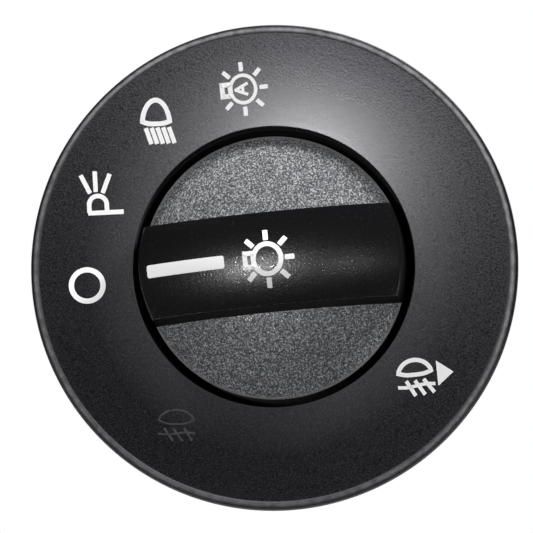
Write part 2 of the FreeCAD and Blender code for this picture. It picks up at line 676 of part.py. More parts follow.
os.makedirs("parts", exist_ok=True)
save("front_bezel", front_bezel())
save("symbol_light_guide", symbol_light_guide())
save("main_housing", main_housing())
save("detent_ring", detent_ring())
save("contact_plate", contact_plate())
save("contact_tracks", contact_tracks())
save("lamp_board", lamp_board())
save("board_leds", board_leds())
save("board_components", board_components())
save("fog_contact_fingers", fog_contact_fingers())
save("terminal_pins", terminal_pins())
save("board_screws", board_screws())
save("rear_cover", rear_cover())
save("latch_spring_right", latch_spring())
save("latch_spring_left", turned(latch_spring(), 180))
save("rotor", rotor())
save("wiper_contacts", wiper_contacts())
save("push_return_spring", push_return_spring())
save("detent_spring_upper", detent_spring(1))
save("detent_spring_lower", detent_spring(-1))
save("detent_plunger_upper", detent_plunger(1))
save("detent_plunger_lower", detent_plunger(-1))
save("knob_dome", knob_dome())
save("knob_grip", knob_grip())
save("knob_light_guide", knob_light_guide())
save("knob_stem", knob_stem())
save("stem_light_pipe", stem_light_pipe())
save("stem_retaining_ring", stem_retaining_ring())
save("fog_contact_ring", fog_contact_ring())
save("latch_right", latch())
save("latch_left", turned(latch(), 180))
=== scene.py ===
import json
import math
from contextlib import contextmanager

import bpy
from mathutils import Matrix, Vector

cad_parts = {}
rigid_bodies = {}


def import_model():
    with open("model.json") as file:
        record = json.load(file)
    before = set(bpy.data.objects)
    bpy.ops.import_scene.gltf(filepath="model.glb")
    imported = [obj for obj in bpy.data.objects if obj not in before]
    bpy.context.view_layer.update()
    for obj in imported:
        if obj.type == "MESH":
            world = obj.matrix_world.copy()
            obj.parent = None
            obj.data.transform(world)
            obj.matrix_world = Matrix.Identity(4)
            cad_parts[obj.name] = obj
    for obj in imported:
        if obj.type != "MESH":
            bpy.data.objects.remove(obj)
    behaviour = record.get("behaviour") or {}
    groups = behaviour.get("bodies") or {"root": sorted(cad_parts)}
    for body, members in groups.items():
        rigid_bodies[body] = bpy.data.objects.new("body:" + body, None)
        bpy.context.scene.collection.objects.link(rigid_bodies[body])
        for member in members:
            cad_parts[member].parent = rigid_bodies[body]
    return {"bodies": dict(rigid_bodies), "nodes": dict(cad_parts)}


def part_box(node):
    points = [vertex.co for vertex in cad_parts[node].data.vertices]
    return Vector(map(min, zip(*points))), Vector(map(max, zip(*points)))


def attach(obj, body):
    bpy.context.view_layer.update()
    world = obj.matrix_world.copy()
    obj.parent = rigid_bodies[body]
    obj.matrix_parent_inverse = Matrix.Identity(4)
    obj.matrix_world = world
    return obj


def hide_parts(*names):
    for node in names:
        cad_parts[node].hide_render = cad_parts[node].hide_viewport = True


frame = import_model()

MM = 0.001
SAME_POINT = 0.001 * MM
SHARP = math.radians(30)
X, Y, Z = 0, 1, 2
LOW, HIGH = 0, 1

# Only the loaded part stays in the scene
for thing in list(bpy.data.objects):
    if thing not in frame["nodes"].values() and thing not in frame["bodies"].values():
        bpy.data.objects.remove(thing)
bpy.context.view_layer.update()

# Driving sizes in mm; the dish falls from the rim to the hole by so many degrees
RIM_R = round(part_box("front_bezel")[HIGH][X] / MM, 2)
KNOB_R = round(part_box("knob_dome")[HIGH][Z] / MM, 2)
HOLE_R = 21.1
DISH = 5.6

# The bar is turned a little from level in the photographed position
BAR_TILT = math.radians(5.3)


# Selection and edit mode

def clear():
    if bpy.context.object and bpy.context.object.mode != "OBJECT":
        bpy.ops.object.mode_set(mode="OBJECT")
    bpy.ops.object.select_all(action="DESELECT")


def pick(*pieces):
    clear()
    for piece in pieces:
        piece.select_set(True)
    bpy.context.view_layer.objects.active = pieces[0]


# Edit mode on one piece, with all of it selected unless it keeps its own selection
@contextmanager
def editing(piece, own_selection=False):
    pick(piece)
    bpy.ops.object.mode_set(mode="EDIT")
    if not own_selection:
        bpy.ops.mesh.select_all(action="SELECT")
    yield
    bpy.ops.object.mode_set(mode="OBJECT")


def apply_place(piece):
    pick(piece)
    bpy.ops.object.transform_apply(location=True, rotation=True, scale=True)
    return piece


# Stretches a new flat primitive in its own width and height and fixes its place
def stretched(wide, tall):
    piece = bpy.context.object
    piece.scale = (wide, tall, 1)
    return apply_place(piece)


def finish_modifier(piece, kind, **settings):
    pick(piece)
    modifier = piece.modifiers.new(kind.title(), kind)
    for key, value in settings.items():
        setattr(modifier, key, value)
    bpy.ops.object.modifier_apply(modifier=modifier.name)


# Smooth shading that keeps flats flat and corners crisp
def shade(piece):
    pick(piece)
    bpy.ops.object.shade_smooth_by_angle(angle=SHARP)
    finish_modifier(piece, "WEIGHTED_NORMAL", keep_sharp=True)


def join(pieces, name):
    pick(*pieces)
    if len(pieces) > 1:
        bpy.ops.object.join()
    whole = bpy.context.object
    whole.name = name
    whole.data.name = name
    return whole


# Camera and lamps

# Direction from the object at an azimuth, counted from the front, and an elevation
def towards(azimuth, elevation):
    a = math.radians(azimuth)
    e = math.radians(elevation)
    return Vector((math.sin(a) * math.cos(e), -math.cos(a) * math.cos(e), math.sin(e)))


# Turns a camera or a lamp that stands in a direction to look back at the object
def face_back(thing, direction):
    thing.rotation_euler = (-direction).to_track_quat("-Z", "Y").to_euler()


# Camera at the photograph's angle, a little below and to the right of the knob's axis
def set_camera():
    azimuth = 4.1
    distance = 0.5
    direction = towards(azimuth, -5.9)
    right = towards(azimuth + 90, 0)
    aim = Vector((0, -3.6 * MM, 0)) - right * 1.08 * MM
    bpy.ops.object.camera_add(location=aim + direction * distance)
    camera = bpy.context.object
    camera.name = "photo_camera"
    face_back(camera, direction)
    camera.data.sensor_width = 36
    camera.data.lens = 225.8
    camera.data.clip_start = 0.01
    bpy.context.scene.camera = camera


# A soft round lamp that gives a matt white surface facing it the brightness "level"
def studio_lamp(name, azimuth, elevation, size, level, highlight=True):
    distance = 0.9
    direction = towards(azimuth, elevation)
    bpy.ops.object.light_add(type="AREA", location=direction * distance)
    lamp = bpy.context.object
    lamp.name = name
    face_back(lamp, direction)
    lamp.data.shape = "DISK"
    lamp.data.size = size
    lamp.data.energy = level * math.pi ** 2 * distance ** 2
    lamp.visible_glossy = highlight


# Node trees

# Joins a socket to another node's output, or gives it a constant
def feed(tree, socket, value):
    if isinstance(value, bpy.types.NodeSocket):
        tree.links.new(value, socket)
    else:
        socket.default_value = value


def add(tree, kind, inputs=None, **settings):
    made = tree.nodes.new(kind)
    for key, value in settings.items():
        setattr(made, key, value)
    for key, value in (inputs or {}).items():
        feed(tree, made.inputs[key], value)
    return made


def math_node(tree, operation, a, b=0.0, clamp=False):
    return add(tree, "ShaderNodeMath", {0: a, 1: b}, operation=operation, use_clamp=clamp).outputs[0]


def spread(tree, value, low, high, to_low, to_high):
    return add(tree, "ShaderNodeMapRange",
               {"Value": value, "From Min": low, "From Max": high, "To Min": to_low,
                "To Max": to_high}).outputs[0]


def noise(tree, place, scale, detail):
    return add(tree, "ShaderNodeTexNoise", {"Vector": place, "Scale": scale, "Detail": detail})


# Coordinates that belong to the piece, so that a pattern moves with it
def on_piece(tree):
    return add(tree, "ShaderNodeTexCoord").outputs["Object"]


# Distance from the knob's axis in mm
def from_axis(tree):
    flat = add(tree, "ShaderNodeVectorMath", {0: on_piece(tree), 1: (1 / MM, 0, 1 / MM)},
               operation="MULTIPLY")
    return add(tree, "ShaderNodeVectorMath", {0: flat.outputs[0]}, operation="LENGTH").outputs["Value"]


def new_group(name, inputs, outputs):
    group = bpy.data.node_groups.new(name, "ShaderNodeTree")
    for label, value in inputs.items():
        socket = group.interface.new_socket(label, in_out="INPUT", socket_type="NodeSocketFloat")
        socket.default_value = value
    for label in outputs:
        group.interface.new_socket(label, in_out="OUTPUT", socket_type="NodeSocketFloat")
    start = group.nodes.new("NodeGroupInput")
    end = group.nodes.new("NodeGroupOutput")
    return group, start.outputs, end.inputs


# Fine grain of a moulded face: its height, a sandy speckle, bright points and slow patches
def moulded_grain():
    group, given, end = new_group(
        "moulded grain", {"Grain per m": 6000.0, "Patches per m": 60.0},
        ("Height", "Speckle", "Glint", "Patches"))
    place = on_piece(group)
    grain = given["Grain per m"]
    sand = add(group, "ShaderNodeTexNoise",
               {"Vector": place, "Scale": grain, "Detail": 2.0, "Roughness": 0.6}).outputs["Fac"]
    pebble = noise(group, place, math_node(group, "MULTIPLY", grain, 0.7), 1.0).outputs["Fac"]
    points = add(group, "ShaderNodeTexVoronoi",
                 {"Vector": place, "Scale": math_node(group, "MULTIPLY", grain, 0.9)})
    lot = add(group, "ShaderNodeSeparateColor", {"Color": points.outputs["Color"]}).outputs["Red"]
    chosen = spread(group, lot, 0.8, 0.92, 0.0, 1.0)
    centre = spread(group, points.outputs["Distance"], 0.1, 0.4, 1.0, 0.0)
    height = math_node(group, "ADD", pebble, math_node(group, "MULTIPLY", sand, 0.5))
    feed(group, end["Height"], height)
    feed(group, end["Speckle"], spread(group, sand, 0.36, 0.66, 0.0, 1.0))
    feed(group, end["Glint"], math_node(group, "MULTIPLY", chosen, centre))
    feed(group, end["Patches"], noise(group, place, given["Patches per m"], 3.0).outputs["Fac"])
    return group


# Where a distance is near its edge value, broken up as handling rubs it: a band of wear that is partly a
# painted highlight on the edge
def rubbed_and_highlit_edge():
    group, given, end = new_group(
        "rubbed and highlit edge", {"Distance": 0.0, "Edge": 0.0, "Width": 1.0}, ("Rub and highlight",))
    gap = math_node(group, "SUBTRACT", given["Distance"], given["Edge"])
    near = math_node(group, "DIVIDE", math_node(group, "ABSOLUTE", gap), given["Width"])
    band = math_node(group, "SUBTRACT", 1.0, near, clamp=True)
    broken = noise(group, on_piece(group), 900.0, 4.0).outputs["Fac"]
    feed(group, end["Rub and highlight"], math_node(group, "MULTIPLY", band, broken))
    return group


# Faint dust on faces that look up
def settled_dust():
    group, given, end = new_group("settled dust", {"Amount": 0.1}, ("Dust",))
    facing = add(group, "ShaderNodeSeparateXYZ",
                 {"Vector": add(group, "ShaderNodeNewGeometry").outputs["Normal"]})
    up = math_node(group, "MULTIPLY", facing.outputs["Z"], given["Amount"], clamp=True)
    cloud = noise(group, on_piece(group), 400.0, 6.0).outputs["Fac"]
    feed(group, end["Dust"], math_node(group, "MULTIPLY", up, cloud))
    return group


GRAIN = moulded_grain()
RUB_AND_HIGHLIGHT = rubbed_and_highlit_edge()
DUST = settled_dust()


def use(tree, group, **inputs):
    made = tree.nodes.new("ShaderNodeGroup")
    made.node_tree = group
    for key, value in inputs.items():
        feed(tree, made.inputs[key.replace("_", " ")], value)
    return made.outputs


def blend_colour(tree, factor, a, b):
    made = tree.nodes.new("ShaderNodeMix")
    made.data_type = "RGBA"
    for socket, value in ((made.inputs[0], factor), (made.inputs[6], a), (made.inputs[7], b)):
        feed(tree, socket, value)
    return made.outputs[2]


def grey(r, g=None, b=None):
    return (r, r if g is None else g, r if b is None else b, 1.0)


# Materials

# A plain shader with its constants, the tree to build on, and what feeds its sockets
def new_material(name, **constants):
    material = bpy.data.materials.new(name)
    material.use_nodes = True
    tree = material.node_tree
    shader = tree.nodes["Principled BSDF"]
    for key, value in constants.items():
        shader.inputs[key.replace("_", " ")].default_value = value

    def finish(**sockets):
        for key, value in sockets.items():
            feed(tree, shader.inputs[key.replace("_", " ")], value)

    return material, tree, finish


# Normal of a grain that is so many mm high
def raised(tree, height, distance):
    return add(tree, "ShaderNodeBump", {"Height": height, "Distance": distance * MM}).outputs["Normal"]


# Satin charcoal plastic of the dial, faintly blue: glossier round the knob, with a painted sheen that
# lightens its colour there, rubbed along the rim with a painted highlight on the rubbed band, and matt on
# its lip and side wall
def dial_satin():
    material, tree, finish = new_material(
        "dial_satin", Specular_IOR_Level=0.27, Specular_Tint=grey(0.93, 0.93, 1.0), Coat_Roughness=0.23)
    sheen_zone_r = HOLE_R + 0.4
    reach = from_axis(tree)
    grain = use(tree, GRAIN, Grain_per_m=4600.0, Patches_per_m=90.0)
    rub_and_highlight = use(tree, RUB_AND_HIGHLIGHT, Distance=reach, Edge=RIM_R - 0.85, Width=0.48)["Rub and highlight"]
    dust = use(tree, DUST, Amount=0.03)["Dust"]
    dark = blend_colour(tree, grain["Patches"], grey(0.0038, 0.0038, 0.005), grey(0.0048, 0.0048, 0.0062))
    fleck = blend_colour(tree, grain["Speckle"], dark, grey(0.0053, 0.0053, 0.007))
    # painted sheen: the dial's colour is lightened towards the hole, standing in for a highlight round
    # the knob
    painted_sheen = spread(tree, reach, sheen_zone_r, sheen_zone_r + 7.0, 1.0, 0.0)
    uneven = spread(tree, grain["Speckle"], 0.0, 1.0, 0.42, 0.58)
    with_painted_sheen = blend_colour(tree, math_node(tree, "MULTIPLY", painted_sheen, uneven), fleck,
                           grey(0.063, 0.063, 0.068))
    # partly wear and partly painted highlight: the band along the rolled rim is lightened
    rubbed_and_highlit = blend_colour(tree, spread(tree, rub_and_highlight, 0.0, 0.5, 0.0, 1.0), with_painted_sheen, grey(0.19, 0.188, 0.196))
    satin = spread(tree, grain["Speckle"], 0.0, 1.0, 0.16, 0.31)
    rim = spread(tree, reach, RIM_R - 1.8, RIM_R - 1.1, 0.0, 0.45)
    lip = spread(tree, reach, HOLE_R + 0.1, HOLE_R + 0.2, 0.65, 0.0)
    matt = math_node(tree, "MAXIMUM", rim, lip)
    finish(Base_Color=blend_colour(tree, dust, rubbed_and_highlit, grey(0.3)),
           Coat_Weight=spread(tree, reach, sheen_zone_r, sheen_zone_r + 11.5, 0.42, 0.0),
           Roughness=math_node(tree, "MAXIMUM", satin, matt),
           Normal=raised(tree, grain["Height"], 0.0055))
    return material


# Mid grey of the knob's face: sandy paint with bright metal flakes, rubbed round its front edge, where
# the lighter band is partly wear and partly painted highlight
def face_grey():
    material, tree, finish = new_material("face_grey", Specular_IOR_Level=0.45)
    grain = use(tree, GRAIN, Grain_per_m=3900.0, Patches_per_m=260.0)
    low = blend_colour(tree, grain["Patches"], grey(0.035, 0.037, 0.041), grey(0.055, 0.057, 0.062))
    sand = math_node(tree, "POWER", grain["Speckle"], 2.2)
    sandy = blend_colour(tree, sand, low, grey(0.47, 0.48, 0.495))
    flaked = blend_colour(tree, grain["Glint"], sandy, grey(0.8))
    rub_and_highlight = use(tree, RUB_AND_HIGHLIGHT, Distance=from_axis(tree), Edge=KNOB_R - 0.05, Width=0.5)["Rub and highlight"]
    depth = add(tree, "ShaderNodeSeparateXYZ", {"Vector": on_piece(tree)}).outputs["Y"]
    front = spread(tree, depth, -2.2 * MM, -1.4 * MM, 2.0, 0.0)
    # partly wear and partly painted highlight: a lighter band round the face's front edge
    rubbed_and_highlit = math_node(tree, "MULTIPLY", rub_and_highlight, front, clamp=True)
    finish(Base_Color=blend_colour(tree, rubbed_and_highlit, flaked, grey(0.24)),
           Metallic=grain["Glint"],
           Roughness=spread(tree, grain["Speckle"], 0.0, 1.0, 0.55, 0.4),
           Normal=raised(tree, grain["Height"], 0.03))
    return material


# Black grip bar: a fine spark finish with metal flakes that sparkle in the highlight
def grip_black():
    material, tree, finish = new_material("grip_black", Specular_IOR_Level=0.8)
    smoothest = 0.27
    grain = use(tree, GRAIN, Grain_per_m=5000.0, Patches_per_m=150.0)
    dark = blend_colour(tree, grain["Patches"], grey(0.002, 0.002, 0.003), grey(0.0032, 0.0032, 0.0042))
    fleck = blend_colour(tree, grain["Speckle"], dark, grey(0.005))
    flake = spread(tree, grain["Glint"], 0.35, 0.4, 0.0, 1.0)
    spark = spread(tree, grain["Speckle"], 0.0, 1.0, 0.42, smoothest)
    finish(Base_Color=blend_colour(tree, flake, fleck, grey(0.36, 0.33, 0.29)),
           Metallic=flake,
           Roughness=spread(tree, flake, 0.0, 1.0, spark, smoothest),
           Normal=raised(tree, grain["Height"], 0.03))
    return material


# White translucent plastic and print of the lit marks
def mark_white(name="mark_white", level=0.94):
    material, tree, finish = new_material(name, Specular_IOR_Level=0.25)
    grain = use(tree, GRAIN, Grain_per_m=3000.0, Patches_per_m=300.0)
    low = grey(level * 0.97, level * 0.97, level * 0.96)
    finish(Base_Color=blend_colour(tree, grain["Patches"], low, grey(level)),
           Roughness=spread(tree, grain["Speckle"], 0.0, 1.0, 0.38, 0.48),
           Normal=raised(tree, grain["Height"], 0.004))
    return material


# A marking that only shows when its lamp is on: smoked film over a hollow
def mark_unlit():
    material, tree, finish = new_material("mark_unlit")
    grain = use(tree, GRAIN, Grain_per_m=5000.0, Patches_per_m=900.0)
    broken = math_node(tree, "MULTIPLY", spread(tree, grain["Patches"], 0.42, 0.58, 0.1, 1.0),
                       spread(tree, grain["Speckle"], 0.0, 1.0, 0.6, 1.0))
    finish(Base_Color=blend_colour(tree, broken, grey(0.006, 0.006, 0.008), grey(0.036, 0.036, 0.042)),
           Roughness=spread(tree, grain["Speckle"], 0.0, 1.0, 0.4, 0.5),
           Normal=raised(tree, grain["Height"], 0.01))
    return material


# A moulded engineering plastic with its own colour, grain and gloss
def moulded(name, low, high, rough, grain_size=4000.0, depth=0.02, dusty=0.12, gloss=0.5):
    material, tree, finish = new_material(name, Specular_IOR_Level=gloss)
    grain = use(tree, GRAIN, Grain_per_m=grain_size, Patches_per_m=70.0)
    dust = use(tree, DUST, Amount=dusty)["Dust"]
    colour = blend_colour(tree, grain["Patches"], low, high)
    finish(Base_Color=blend_colour(tree, dust, colour, grey(0.35)),
           Roughness=spread(tree, grain["Patches"], 0.3, 0.7, rough - 0.05, rough + 0.07),
           Normal=raised(tree, grain["Height"], depth))
    return material


# Black housing plastic, matt in the well round the knob, with painted shade there: its colour goes near
# black in the well
def housing_plastic():
    material, tree, finish = new_material("housing_black", Specular_IOR_Level=0.35)
    well_r = HOLE_R + 1.7
    grain = use(tree, GRAIN, Grain_per_m=4000.0, Patches_per_m=70.0)
    dust = use(tree, DUST, Amount=0.1)["Dust"]
    # painted shade: inside the well round the knob the colour is near black
    outside_well_shade = spread(tree, from_axis(tree), well_r, well_r + 0.8, 0.0, 1.0)
    black = blend_colour(tree, grain["Patches"], grey(0.012), grey(0.018, 0.018, 0.019))
    dusty = blend_colour(tree, dust, black, grey(0.35))
    satin = spread(tree, grain["Patches"], 0.3, 0.7, 0.45, 0.57)
    matt = spread(tree, outside_well_shade, 0.0, 1.0, 0.9, 0.0)
    finish(Base_Color=blend_colour(tree, outside_well_shade, grey(0.002), dusty),
           Roughness=math_node(tree, "MAXIMUM", satin, matt),
           Normal=raised(tree, grain["Height"], 0.02))
    return material


# Stamped or drawn metal with a fine grain and dull patches
def drawn_metal(name, low, high, rough):
    material, tree, finish = new_material(name, Metallic=1.0)
    grain = use(tree, GRAIN, Grain_per_m=2500.0, Patches_per_m=500.0)
    finish(Base_Color=blend_colour(tree, grain["Patches"], low, high),
           Roughness=spread(tree, grain["Patches"], 0.3, 0.7, rough, rough + 0.15),
           Normal=raised(tree, grain["Height"], 0.004))
    return material


# Clear acrylic of the light guides
def clear_acrylic():
    material, tree, finish = new_material("clear_acrylic", Transmission_Weight=1.0, IOR=1.49)
    grain = use(tree, GRAIN, Grain_per_m=1500.0, Patches_per_m=200.0)
    finish(Base_Color=blend_colour(tree, grain["Patches"], grey(0.86, 0.9, 0.9), grey(0.93, 0.95, 0.95)),
           Roughness=spread(tree, grain["Patches"], 0.3, 0.7, 0.04, 0.16),
           Normal=raised(tree, grain["Height"], 0.003))
    return material


# Pieces from the CAD nodes

# A merged, smoothly shaded copy of a CAD node that stands in its place
def smooth_skin(node, body, material):
    skin = bpy.data.objects.new(node + "_skin", frame["nodes"][node].data.copy())
    bpy.context.scene.collection.objects.link(skin)
    pick(skin)
    bpy.ops.mesh.customdata_custom_splitnormals_clear()
    with editing(skin):
        bpy.ops.mesh.remove_doubles(threshold=SAME_POINT)
    shade(skin)
    skin.data.materials.clear()
    skin.data.materials.append(material)
    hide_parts(node)
    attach(skin, body)
    return skin


# A spring shown as long as it is when pressed in, so that it clears its plunger in every pose;
# the low or high end of its box is its seat, and the share is of its free length
def pressed_spring(node, body, axis, seat, share):
    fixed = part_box(node)[seat][axis]
    skin = smooth_skin(node, body, STEEL)
    for vertex in skin.data.vertices:
        vertex.co[axis] = fixed + (vertex.co[axis] - fixed) * share


# Gives the upright side walls of the grip bar their own matt finish
def matt_sides(skin, material):
    wall = 6.2 * MM
    steep = 0.8
    skin.data.materials.append(material)
    for face in skin.data.polygons:
        across = face.center.z * math.cos(BAR_TILT) - face.center.x * math.sin(BAR_TILT)
        upright = abs(face.normal.z * math.cos(BAR_TILT) - face.normal.x * math.sin(BAR_TILT))
        if abs(across) > wall and upright > steep:
            face.material_index = 1


# The dial

# A closed outline in X and Y through the given points in mm
def outline(points, fill="NOTHING"):
    clear()
    bpy.ops.mesh.primitive_circle_add(vertices=len(points), radius=MM, fill_type=fill)
    piece = bpy.context.object
    for vertex, (x, y) in zip(piece.data.vertices, points):
        vertex.co = (x * MM, y * MM, 0)
    return piece


# Points of an arc in mm; an angle of 0 faces out from the axis, -90 faces the front
def arc(x, y, radius, start, stop, steps):
    angles = [math.radians(start + (stop - start) * i / steps) for i in range(steps + 1)]
    return [(x + radius * math.cos(a), y + radius * math.sin(a)) for a in angles]


# The dial's ring turned round the knob's axis: hole, straight dish, rolled rim and collar
def turned_ring():
    lip_r = 0.12
    lip_y = -3.817
    roll_r = 1.3
    roll_y = -4.0
    dish_steps = 12
    taper = 0.4
    wall_r = RIM_R - 2.2
    wall_y = -0.3
    under_y = -2.8
    collar_r = HOLE_R + 0.9
    collar_y = -1.7
    lip = arc(HOLE_R + lip_r, lip_y, lip_r, 180, 270 - DISH, 6)
    roll = arc(RIM_R - roll_r, roll_y, roll_r, -90 - DISH, 0, 24)
    (x0, y0), (x1, y1) = lip[-1], roll[0]
    dish = [(x0 + (x1 - x0) * i / dish_steps, y0 + (y1 - y0) * i / dish_steps)
            for i in range(1, dish_steps)]
    rear = [(RIM_R - taper, wall_y), (wall_r, wall_y), (wall_r, under_y),
            (collar_r, under_y), (collar_r, collar_y), (HOLE_R, collar_y)]
    piece = outline(lip + dish + roll + rear)
    with editing(piece):
        bpy.ops.mesh.spin(steps=256, angle=2 * math.pi, center=(0, 0, 0), axis=(0, 1, 0))
        bpy.ops.mesh.select_all(action="SELECT")
        bpy.ops.mesh.remove_doubles(threshold=SAME_POINT)
        bpy.ops.mesh.normals_make_consistent(inside=False)
    return piece


# One snap hook of the ring, copied to its four places
def ring_hooks():
    root_y = -2.9
    inner = 24.0
    outer = inner + 1.2
    barb = outer + 0.7
    barb_end_y = 0.4
    tip_y = 1.4
    width = 5.0
    side = [(inner, root_y), (outer, root_y), (outer, 0), (barb, 0), (barb, barb_end_y),
            (outer, tip_y), (inner, tip_y)]
    hook = outline(side, "NGON")
    with editing(hook):
        bpy.ops.mesh.extrude_region_move(TRANSFORM_OT_translate={"value": (0, 0, width * MM)})
        bpy.ops.mesh.select_all(action="SELECT")
        bpy.ops.transform.translate(value=(0, 0, -width / 2 * MM))
        bpy.ops.mesh.normals_make_consistent(inside=False)
    hooks = [hook]
    for quarter in (1, 2, 3):
        again = hook.copy()
        again.data = hook.data.copy()
        bpy.context.scene.collection.objects.link(again)
        again.rotation_euler.y = quarter * math.pi / 2
        hooks.append(apply_place(again))
    return hooks


def dial_ring():
    piece = join([turned_ring(), *ring_hooks()], "front_bezel_ring")
    shade(piece)
    piece.data.materials.append(DIAL)
    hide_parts("front_bezel")
    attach(piece, "housing")
    return piece


# Strokes of the marks, drawn flat in X and Y in mm as they are seen from the front

# Leaves a band of the given width round the edge of a flat face
def hollow_out(piece, stroke):
    with editing(piece):
        bpy.ops.mesh.inset(thickness=stroke * MM)
        bpy.ops.mesh.delete(type="FACE")
    return piece


# A rectangle about its centre with rounded corners
def plate(x, y, length, width, turn, corner, segments=3):
    clear()
    bpy.ops.mesh.primitive_plane_add(size=MM, location=(x * MM, y * MM, 0), rotation=(0, 0, turn))
    piece = stretched(length, width)
    with editing(piece):
        bpy.ops.mesh.bevel(offset=corner * MM, segments=segments, affect="VERTICES")
    return piece


def strip(x0, y0, x1, y1, width, corner=0.12):
    return plate((x0 + x1) / 2, (y0 + y1) / 2, math.hypot(x1 - x0, y1 - y0), width,
                 math.atan2(y1 - y0, x1 - x0), corner)


# Lamp socket: a square band with a slot in it
def socket_band(x, y, length, height, stroke, turn):
    return hollow_out(plate(x, y, length, height, turn, corner=0.08, segments=2), stroke)


def hoop(x, y, radius, stroke, tall=1.0, turn=0.0, sides=64):
    clear()
    bpy.ops.mesh.primitive_circle_add(
        vertices=sides, radius=radius * MM, fill_type="NGON",
        location=(x * MM, y * MM, 0), rotation=(0, 0, turn))
    return hollow_out(stretched(1, tall), stroke)


# Moves a stroke that was drawn about the origin to its place and turn
def set_down(piece, x, y, turn):
    piece.location = (x * MM, y * MM, 0)
    piece.rotation_euler = (0, 0, turn)
    return apply_place(piece)


# Turns a flat face over if it faces away
def face_front(piece):
    if piece.data.polygons[0].normal.z < 0:
        piece.data.flip_normals()


# Headlamp dome: a curve of four points with a flat bowed foot, made a face and hollowed
def dome(x, y, half, rise, bow, stroke, turn):
    clear()
    bpy.ops.curve.primitive_bezier_circle_add(radius=MM, location=(0, 0, 0))
    curve = bpy.context.object.data
    curve.dimensions = "2D"
    curve.fill_mode = "NONE"
    curve.resolution_u = 10
    shoulder = half * 0.55
    flank = half * 0.97
    foot = half * 0.4
    knee = rise * 0.52
    places = (
        ((-half, 0), (-shoulder, -bow), (-flank, knee)),
        ((0, rise), (-shoulder, rise), (shoulder, rise)),
        ((half, 0), (flank, knee), (shoulder, -bow)),
        ((0, -bow), (foot, -bow), (-foot, -bow)),
    )
    for point, (at, before, after) in zip(curve.splines[0].bezier_points, places):
        point.handle_left_type = "FREE"
        point.handle_right_type = "FREE"
        point.co = (at[0] * MM, at[1] * MM, 0)
        point.handle_left = (before[0] * MM, before[1] * MM, 0)
        point.handle_right = (after[0] * MM, after[1] * MM, 0)
    bpy.ops.object.convert(target="MESH")
    piece = set_down(bpy.context.object, x, y, turn)
    with editing(piece):
        bpy.ops.mesh.remove_doubles(threshold=SAME_POINT)
        bpy.ops.mesh.edge_face_add()
    face_front(piece)
    return hollow_out(piece, stroke)


# A wavy stroke of mist
def wave(x0, y0, x1, y1, width, swing):
    length = math.hypot(x1 - x0, y1 - y0)
    clear()
    bpy.ops.mesh.primitive_grid_add(x_subdivisions=24, y_subdivisions=1, size=MM)
    piece = stretched(length, width)
    for vertex in piece.data.vertices:
        vertex.co.y += swing * MM * math.sin(2 * math.pi * vertex.co.x / (length * MM))
    return set_down(piece, (x0 + x1) / 2, (y0 + y1) / 2, math.atan2(y1 - y0, x1 - x0))


# The open arch of the letter P: half a hoop with two short legs
def arch(x, y, radius, stroke, leg, turn):
    piece = hoop(0, 0, radius, stroke, sides=48)
    with editing(piece):
        bpy.ops.mesh.bisect(plane_co=(0, 0, 0), plane_no=(0, 1, 0), clear_inner=True)
        bpy.ops.mesh.select_all(action="DESELECT")
    for edge in piece.data.edges:
        edge.select = all(abs(piece.data.vertices[v].co.y) < SAME_POINT for v in edge.vertices)
    with editing(piece, own_selection=True):
        bpy.ops.mesh.select_mode(type="EDGE")
        bpy.ops.mesh.extrude_edges_move(TRANSFORM_OT_translate={"value": (0, -leg * MM, 0)})
        bpy.ops.mesh.select_mode(type="VERT")
    return set_down(piece, x, y, turn)


# Solid arrow head with its point to the right
def arrow(corners):
    piece = outline(corners, "NGON")
    with editing(piece):
        bpy.ops.mesh.bevel(offset=0.1 * MM, segments=3, affect="VERTICES")
    face_front(piece)
    return piece


# A glowing lamp with seven rays and its socket to the left; a tall lamp's rays start further out
def lamp_strokes(x, y, turn, radius, stroke, tall, ray_start, ray_end, ray_width,
                 socket_reach, socket_length, socket_height, socket_wall):
    out = [hoop(x, y, radius, stroke, tall, turn)]
    for k in range(-3, 4):
        step = k * math.pi / 4
        c, s = math.cos(turn + step), math.sin(turn + step)
        grow = 1 + (tall - 1) * abs(math.sin(step))
        near = ray_start * grow
        far = ray_end * grow
        out.append(strip(x + c * near, y + s * near, x + c * far, y + s * far, ray_width))
    middle = socket_reach - socket_length / 2
    out.append(socket_band(x - math.cos(turn) * middle, y - math.sin(turn) * middle,
                           socket_length, socket_height, socket_wall, turn))
    return out


# A lamp dome over slanted beams crossed by a wave of mist that lies "drop" below the dome
def fog_strokes(x, y, turn, half, rise, bow, stroke, beams, beam_width, mist_width, drop):
    c, s = math.cos(turn), math.sin(turn)

    def at(u, v):
        return x + u * c - v * s, y + u * s + v * c

    out = [dome(x, y, half, rise, bow, stroke, turn)]
    for u0, v0, u1, v1 in beams:
        out.append(strip(*at(u0, v0), *at(u1, v1), beam_width, corner=0.06))
    out.append(wave(*at(-half * 0.97, -drop), *at(half * 1.03, -drop), mist_width, swing=0.14))
    return out


# The marks

def off_mark():
    return [hoop(-27.93, -2.76, radius=2.75, stroke=0.79)]


def parking_mark():
    pen = 0.69
    ray = 0.67
    return [
        strip(-27.83, 8.11, -22.52, 8.39, pen, corner=0.08),
        arch(-26.37, 9.42, radius=1.66, stroke=pen, leg=1.2, turn=math.radians(3)),
        strip(-28.99, 13.84, -27.55, 11.11, ray),
        strip(-26.88, 14.46, -26.71, 11.33, ray),
        strip(-24.63, 14.07, -25.69, 11.16, ray),
    ]


def low_beam_mark():
    pitch = 0.868
    climb = 0.04
    lean = 0.85
    drop = 2.42
    pen = 0.66
    strokes = [dome(-17.66, 21.72, half=2.42, rise=3.8, bow=0.5, stroke=0.72, turn=math.radians(1.5))]
    for i in range(5):
        x = -19.2 + pitch * i
        y = 20.95 + climb * i
        strokes.append(strip(x, y, x + lean, y - drop, pen, corner=0.06))
    return strokes


